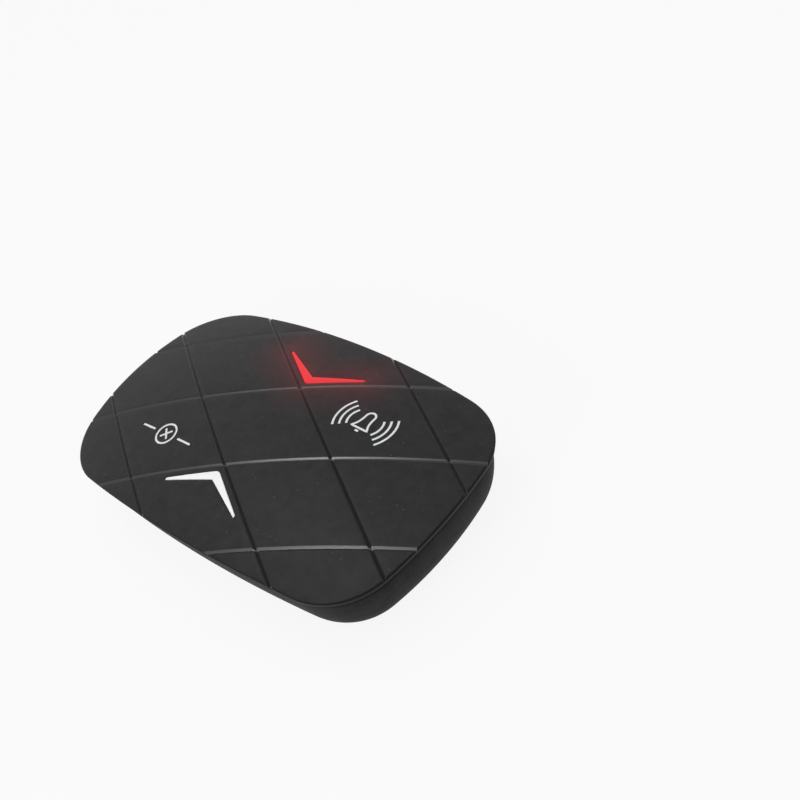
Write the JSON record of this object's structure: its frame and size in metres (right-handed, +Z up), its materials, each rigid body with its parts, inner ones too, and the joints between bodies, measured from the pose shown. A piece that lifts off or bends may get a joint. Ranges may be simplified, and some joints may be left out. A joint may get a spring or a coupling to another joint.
{
  "type": "table call button",
  "caption": "Low rounded table call button: a crowned rocking cover with diamond grooves and chevron lights over a bowl-shaped base with a coin-turned battery door.",
  "frame": {"origin": "centre of the footprint, on the surface that the rubber feet stand on", "axes": "+X along the length towards the CALL end, +Y across the width towards the red light, +Z up through the crown"},
  "size_m": [0.087, 0.0524, 0.0198],
  "materials": {
    "black_moulding": "finely textured black ABS moulding",
    "base_moulding": "finely textured black ABS moulding",
    "red_lens": "translucent red diffuser, lit",
    "white_lens": "translucent white diffuser",
    "clear_guide": "clear acrylic",
    "steel": "zinc-plated steel",
    "frame_moulding": "natural ABS moulding",
    "silicone": "grey silicone",
    "board": "green solder mask",
    "switch_body": "black switch housing",
    "plunger": "amber acetal",
    "lamp_body": "white lamp package",
    "chip": "black epoxy package",
    "ceramic_part": "white ceramic",
    "chip_part": "tan ceramic chips",
    "cell_can": "nickel-plated steel can",
    "contact": "gold-flashed spring brass",
    "rubber": "black rubber"
  },
  "bodies": {
    "cover": {"top_cover": "black_moulding", "call_lens": "red_lens", "clear_lens": "white_lens"},
    "base": {"call_light_guide": "clear_guide", "clear_light_guide": "clear_guide", "pivot_pins": "steel", "inner_frame": "frame_moulding", "splash_membrane": "silicone", "circuit_board": "board", "call_switch": "switch_body", "clear_switch": "switch_body", "call_led": "lamp_body", "clear_led": "lamp_body", "radio_chip": "chip", "crystal": "steel", "antenna": "ceramic_part", "board_passives": "chip_part", "coin_cell": "cell_can", "positive_contact": "contact", "negative_contact": "contact", "base_shell": "base_moulding", "rubber_feet": "rubber", "case_screws": "steel"},
    "call_plunger": {"call_plunger": "plunger"},
    "clear_plunger": {"clear_plunger": "plunger"},
    "battery_door": {"battery_door": "base_moulding", "door_seal": "rubber"}
  },
  "joints": [
    {"name": "cover_rock", "type": "hinge", "parent": "base", "child": "cover", "pos_m": [0, 0, 0.01425], "axis": [0, 1, 0], "range_deg": [-0.6, 0.6], "stiffness_Nm_per_rad": 8, "deforming": ["splash_membrane"]},
    {"name": "call_plunger_slide", "type": "slide", "parent": "base", "child": "call_plunger", "axis": [0, 0, -1], "range_m": [-0.00028, 0.00028]},
    {"name": "clear_plunger_slide", "type": "slide", "parent": "base", "child": "clear_plunger", "axis": [0, 0, -1], "range_m": [-0.00028, 0.00028]},
    {"name": "door_turn", "type": "hinge", "parent": "base", "child": "battery_door", "pos_m": [0, 0, 0.001], "axis": [0, 0, 1], "range_deg": [0, 40]}
  ],
  "couplings": [
    {"joint": "call_plunger_slide", "follows": "cover_rock", "m_per_rad": 0.024},
    {"joint": "clear_plunger_slide", "follows": "cover_rock", "m_per_rad": -0.024}
  ]
}
